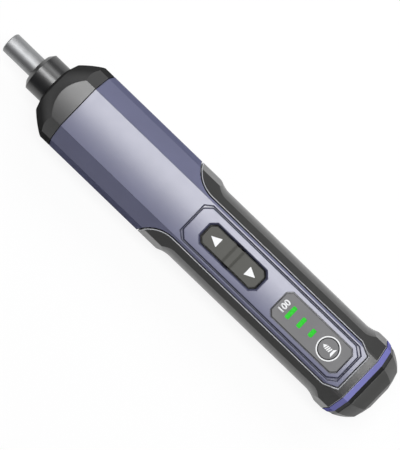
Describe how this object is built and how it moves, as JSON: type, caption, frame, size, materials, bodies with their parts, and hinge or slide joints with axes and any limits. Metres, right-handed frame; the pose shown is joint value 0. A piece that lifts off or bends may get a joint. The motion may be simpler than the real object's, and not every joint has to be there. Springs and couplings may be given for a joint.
{
  "type": "electric screwdriver",
  "caption": "Straight cordless screwdriver with a magnetic hex bit holder, faceted two-tone body, thumb rocker, charge lights, mode button, planetary gearbox and rechargeable cell.",
  "frame": {"origin": "centre of the bounding box's bottom face: under the middle of the tool as it lies on its back", "axes": "+X along the spindle axis from the bit holder to the charging end, +Z out of the control panel, Y across"},
  "size_m": [0.2032, 0.0378, 0.0328],
  "materials": {
    "violet_plastic": "satin moulded",
    "black_plastic": "semi-gloss moulded",
    "grip_rubber": "fine textured soft-touch",
    "cap_plastic": "fine grained",
    "rocker_plastic": "satin",
    "panel_plastic": "satin",
    "light_plastic": "translucent green",
    "holder_steel": "polished",
    "gear_steel": "ground",
    "screw_steel": "zinc plated",
    "bush_bronze": "sintered",
    "copper": "bright",
    "magnet": "sintered",
    "motor_steel": "plated",
    "collar_gloss": "polished moulded",
    "case_metal": "glass-filled moulded, glossy",
    "inner_plastic": "moulded",
    "board_black": "black solder mask",
    "chip_black": "moulded",
    "cell_sleeve": "wrapped",
    "nickel": "plated",
    "lead_insulation": "insulated",
    "gasket_rubber": "smooth",
    "lamp_white": "clear"
  },
  "bodies": {
    "housing": {"battery_cell": "cell_sleeve", "battery_tabs": "nickel", "board_chips": "chip_black", "board_screws": "screw_steel", "cap_gasket": "gasket_rubber", "case_screws": "screw_steel", "charge_board": "board_black", "charge_leads": "lead_insulation", "control_board": "board_black", "core_frame": "inner_plastic", "end_cap": "cap_plastic", "forward_switch": "inner_plastic", "front_housing": "violet_plastic", "gear_case": "case_metal", "gearbox_screws": "screw_steel", "grip_housing": "grip_rubber", "light_guide": "light_plastic", "mode_switch": "inner_plastic", "motor_brushes": "copper", "motor_bushes": "bush_bronze", "motor_can": "motor_steel", "motor_end_bell": "inner_plastic", "motor_leads": "lead_insulation", "motor_magnets": "magnet", "motor_plate": "motor_steel", "motor_screws": "screw_steel", "motor_terminals": "nickel", "nose_cap": "black_plastic", "reverse_switch": "inner_plastic", "ring_gear": "gear_steel", "rocker_pin": "gear_steel", "snout_collar": "collar_gloss", "spindle_bush": "bush_bronze", "status_lamps": "lamp_white", "status_panel": "panel_plastic", "thrust_washer": "gear_steel", "trim_ring": "violet_plastic", "usb_blade": "inner_plastic", "usb_socket": "nickel"},
    "rotor": {"motor_shaft": "gear_steel", "motor_pinion": "gear_steel", "armature": "motor_steel", "armature_coils": "copper", "commutator": "copper"},
    "middle_carrier": {"stage1_carrier": "gear_steel", "stage1_pins": "gear_steel", "stage2_sun": "gear_steel"},
    "output_spindle": {"spindle": "holder_steel", "bit_magnet": "magnet", "stage2_carrier": "gear_steel", "stage2_pins": "gear_steel"},
    "rocker": {"rocker_button": "rocker_plastic"},
    "mode_key": {"mode_button": "panel_plastic", "mode_plunger": "inner_plastic"},
    "planet_1_1": {"stage1_planet_1": "gear_steel"},
    "planet_1_2": {"stage1_planet_2": "gear_steel"},
    "planet_1_3": {"stage1_planet_3": "gear_steel"},
    "planet_2_1": {"stage2_planet_1": "gear_steel"},
    "planet_2_2": {"stage2_planet_2": "gear_steel"},
    "planet_2_3": {"stage2_planet_3": "gear_steel"}
  },
  "joints": [
    {"name": "motor_spin", "type": "hinge", "parent": "housing", "child": "rotor", "pos_m": [-0.0416, 0, 0.0162], "axis": [1, 0, 0], "continuous": true},
    {"name": "middle_carrier_spin", "type": "hinge", "parent": "housing", "child": "middle_carrier", "pos_m": [-0.0486, 0, 0.0162], "axis": [1, 0, 0], "continuous": true},
    {"name": "spindle_spin", "type": "hinge", "parent": "housing", "child": "output_spindle", "pos_m": [-0.0716, 0, 0.0162], "axis": [1, 0, 0], "continuous": true},
    {"name": "planet_1_1_spin", "type": "hinge", "parent": "middle_carrier", "child": "planet_1_1", "pos_m": [-0.04395, 0, 0.02295], "axis": [1, 0, 0], "continuous": true},
    {"name": "planet_1_2_spin", "type": "hinge", "parent": "middle_carrier", "child": "planet_1_2", "pos_m": [-0.04395, -0.00585, 0.01282], "axis": [1, 0, 0], "continuous": true},
    {"name": "planet_1_3_spin", "type": "hinge", "parent": "middle_carrier", "child": "planet_1_3", "pos_m": [-0.04395, 0.00585, 0.01282], "axis": [1, 0, 0], "continuous": true},
    {"name": "planet_2_1_spin", "type": "hinge", "parent": "output_spindle", "child": "planet_2_1", "pos_m": [-0.05325, 0, 0.02295], "axis": [1, 0, 0], "continuous": true},
    {"name": "planet_2_2_spin", "type": "hinge", "parent": "output_spindle", "child": "planet_2_2", "pos_m": [-0.05325, -0.00585, 0.01282], "axis": [1, 0, 0], "continuous": true},
    {"name": "planet_2_3_spin", "type": "hinge", "parent": "output_spindle", "child": "planet_2_3", "pos_m": [-0.05325, 0.00585, 0.01282], "axis": [1, 0, 0], "continuous": true},
    {"name": "rocker_tilt", "type": "hinge", "parent": "housing", "child": "rocker", "pos_m": [0.02145, 0, 0.0284], "axis": [0, 1, 0], "range_deg": [-3, 3], "stiffness_Nm_per_rad": 0.34},
    {"name": "mode_press", "type": "slide", "parent": "housing", "child": "mode_key", "axis": [0, 0, -1], "range_m": [0, 0.0004], "stiffness_N_per_m": 2000}
  ],
  "couplings": [
    {"joint": "middle_carrier_spin", "follows": "motor_spin", "ratio": 0.22222},
    {"joint": "spindle_spin", "follows": "motor_spin", "ratio": 0.049383},
    {"joint": "planet_1_1_spin", "follows": "motor_spin", "ratio": -0.62222},
    {"joint": "planet_1_2_spin", "follows": "motor_spin", "ratio": -0.62222},
    {"joint": "planet_1_3_spin", "follows": "motor_spin", "ratio": -0.62222},
    {"joint": "planet_2_1_spin", "follows": "motor_spin", "ratio": -0.13827},
    {"joint": "planet_2_2_spin", "follows": "motor_spin", "ratio": -0.13827},
    {"joint": "planet_2_3_spin", "follows": "motor_spin", "ratio": -0.13827}
  ]
}
